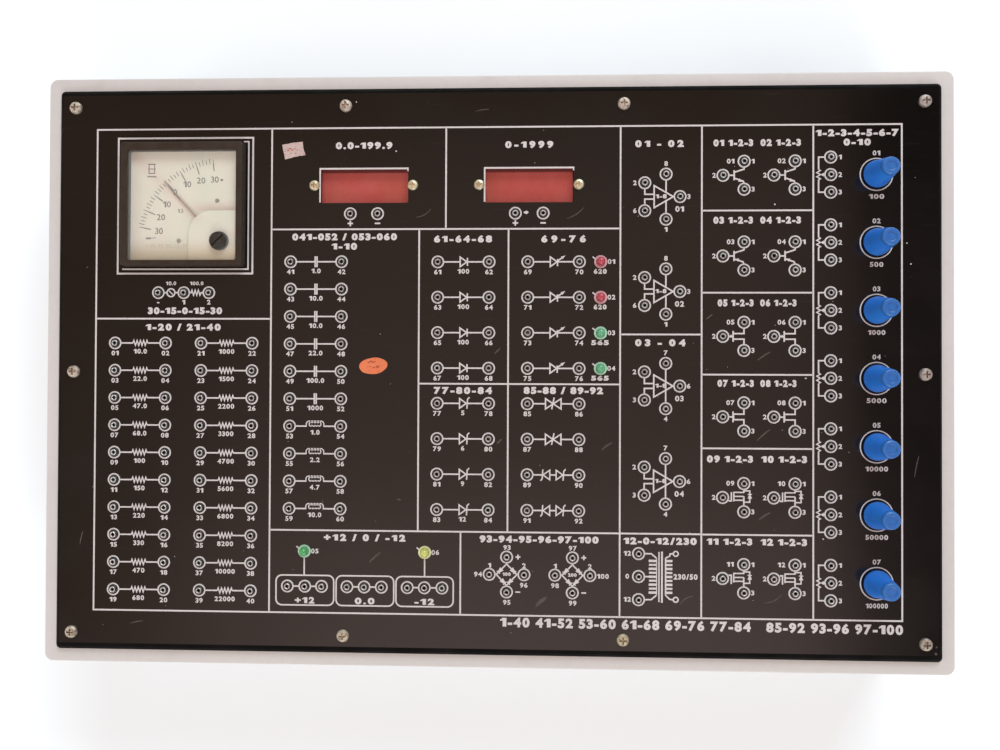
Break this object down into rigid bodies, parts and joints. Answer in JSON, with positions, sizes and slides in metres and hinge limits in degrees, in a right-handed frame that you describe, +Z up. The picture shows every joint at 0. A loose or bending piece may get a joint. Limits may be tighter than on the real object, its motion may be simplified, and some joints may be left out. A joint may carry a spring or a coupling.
{
  "type": "electronics component bank trainer",
  "caption": "Bench trainer with a black printed panel of small sockets, a centre-zero meter, two digital meters, lamps and blue potentiometer knobs on a low light case.",
  "frame": {"origin": "centre of the footprint, rear fittings included, on the plane the four feet rest on; the panel centre is 2.46 mm in front of it", "axes": "+X to the right along the panel, +Y to its top edge (the back of the case), +Z up out of the panel"},
  "size_m": [0.533, 0.353, 0.097],
  "materials": {
    "case_paint": "off-white powder coat, fine texture",
    "base_paint": "grey powder coat",
    "zinc": "bright zinc plate",
    "nickel": "dull nickel plate, slightly tarnished",
    "foot_rubber": "moulded black rubber",
    "panel_laminate": "black phenolic laminate, satin, white screen print",
    "black_nylon": "black moulded nylon",
    "meter_black": "black moulded phenolic, slightly brown",
    "meter_window": "clear acrylic window",
    "dial_cream": "cream enamel, aged",
    "adjuster_black": "black moulded plastic",
    "pointer_black": "matt black aluminium blade",
    "copper": "enamelled copper wire on an aluminium frame",
    "magnet_steel": "sintered magnet and soft iron",
    "red_filter": "red acrylic display filter",
    "display_grey": "grey display block",
    "board_green": "green solder resist on glass epoxy",
    "led_red": "diffused red epoxy",
    "led_green": "diffused green epoxy",
    "led_yellow": "diffused yellow epoxy",
    "pot_metal": "tinned steel and turned shaft",
    "resistor_tan": "lacquered resistor body",
    "capacitor_blue": "sleeved capacitor",
    "inductor_dark": "ferrite spool with enamelled wire",
    "epoxy_black": "moulded black epoxy",
    "sink_aluminium": "extruded aluminium",
    "core_steel": "varnished laminations and strap",
    "winding_tape": "polyester tape over copper",
    "inlet_black": "black moulded thermoplastic",
    "brass": "nickel-free brass blade",
    "fuse_glass": "glass tube fuse with plated caps",
    "rocker_black": "black moulded rocker",
    "knob_blue": "blue moulded plastic, worn smooth"
  },
  "bodies": {
    "chassis": {"base_plate": "base_paint", "base_screws": "zinc", "capacitors": "capacitor_blue", "case_shell": "case_paint", "chips": "epoxy_black", "circuit_boards": "board_green", "clinch_nuts": "zinc", "diodes": "epoxy_black", "feet": "foot_rubber", "front_panel": "panel_laminate", "galvo_bezel": "meter_black", "galvo_case": "meter_black", "galvo_cover": "dial_cream", "galvo_dial": "dial_cream", "galvo_fixings": "zinc", "galvo_glass": "meter_window", "galvo_magnet": "magnet_steel", "heat_sink": "sink_aluminium", "inductors": "inductor_dark", "inlet_module": "inlet_black", "inlet_pins": "brass", "led_yellow": "led_yellow", "leds_green": "led_green", "leds_red": "led_red", "meter_displays": "display_grey", "meter_filters": "red_filter", "meter_housings": "black_nylon", "panel_screws": "nickel", "pot_bodies": "pot_metal", "pot_nuts": "zinc", "resistors": "resistor_tan", "small_nuts": "zinc", "small_screws": "nickel", "socket_bushings": "black_nylon", "socket_ferrules": "nickel", "socket_nuts": "nickel", "transformer_core": "core_steel", "transformer_winding": "winding_tape", "transistors": "epoxy_black"},
    "knob_body_1": {"knob_1": "knob_blue", "shaft_1": "pot_metal"},
    "knob_body_2": {"knob_2": "knob_blue", "shaft_2": "pot_metal"},
    "knob_body_3": {"knob_3": "knob_blue", "shaft_3": "pot_metal"},
    "knob_body_4": {"knob_4": "knob_blue", "shaft_4": "pot_metal"},
    "knob_body_5": {"knob_5": "knob_blue", "shaft_5": "pot_metal"},
    "knob_body_6": {"knob_6": "knob_blue", "shaft_6": "pot_metal"},
    "knob_body_7": {"knob_7": "knob_blue", "shaft_7": "pot_metal"},
    "pointer_body": {"galvo_pointer": "pointer_black", "galvo_coil": "copper"},
    "adjuster_body": {"galvo_adjuster": "adjuster_black"},
    "drawer_body": {"fuse_drawer": "inlet_black", "fuse": "fuse_glass"},
    "rocker_body": {"rocker": "rocker_black"}
  },
  "joints": [
    {"name": "knob_1_turn", "type": "hinge", "parent": "chassis", "child": "knob_body_1", "pos_m": [0.2207, 0.11084, 0.0832], "axis": [0, 0, 1], "range_deg": [-150, 150]},
    {"name": "knob_2_turn", "type": "hinge", "parent": "chassis", "child": "knob_body_2", "pos_m": [0.2207, 0.07178, 0.0832], "axis": [0, 0, 1], "range_deg": [-150, 150]},
    {"name": "knob_3_turn", "type": "hinge", "parent": "chassis", "child": "knob_body_3", "pos_m": [0.2207, 0.03272, 0.0832], "axis": [0, 0, 1], "range_deg": [-150, 150]},
    {"name": "knob_4_turn", "type": "hinge", "parent": "chassis", "child": "knob_body_4", "pos_m": [0.2207, -0.00634, 0.0832], "axis": [0, 0, 1], "range_deg": [-150, 150]},
    {"name": "knob_5_turn", "type": "hinge", "parent": "chassis", "child": "knob_body_5", "pos_m": [0.2207, -0.0454, 0.0832], "axis": [0, 0, 1], "range_deg": [-150, 150]},
    {"name": "knob_6_turn", "type": "hinge", "parent": "chassis", "child": "knob_body_6", "pos_m": [0.2207, -0.08446, 0.0832], "axis": [0, 0, 1], "range_deg": [-150, 150]},
    {"name": "knob_7_turn", "type": "hinge", "parent": "chassis", "child": "knob_body_7", "pos_m": [0.2207, -0.12352, 0.0832], "axis": [0, 0, 1], "range_deg": [-150, 150]},
    {"name": "pointer_swing", "type": "hinge", "parent": "chassis", "child": "pointer_body", "pos_m": [-0.1595, 0.07154, 0.0622], "axis": [0, 0, 1], "range_deg": [-45, 45], "stiffness_Nm_per_rad": 0.00002},
    {"name": "zero_adjust", "type": "hinge", "parent": "chassis", "child": "adjuster_body", "pos_m": [-0.1598, 0.07269, 0.0832], "axis": [0, 0, 1], "range_deg": [-60, 60]},
    {"name": "fuse_drawer_slide", "type": "slide", "parent": "chassis", "child": "drawer_body", "axis": [0, 1, 0], "range_m": [0, 0.018]},
    {"name": "rocker_tilt", "type": "hinge", "parent": "chassis", "child": "rocker_body", "pos_m": [0.2071, 0.16854, 0.042], "axis": [1, 0, 0], "range_deg": [0, 16]}
  ]
}
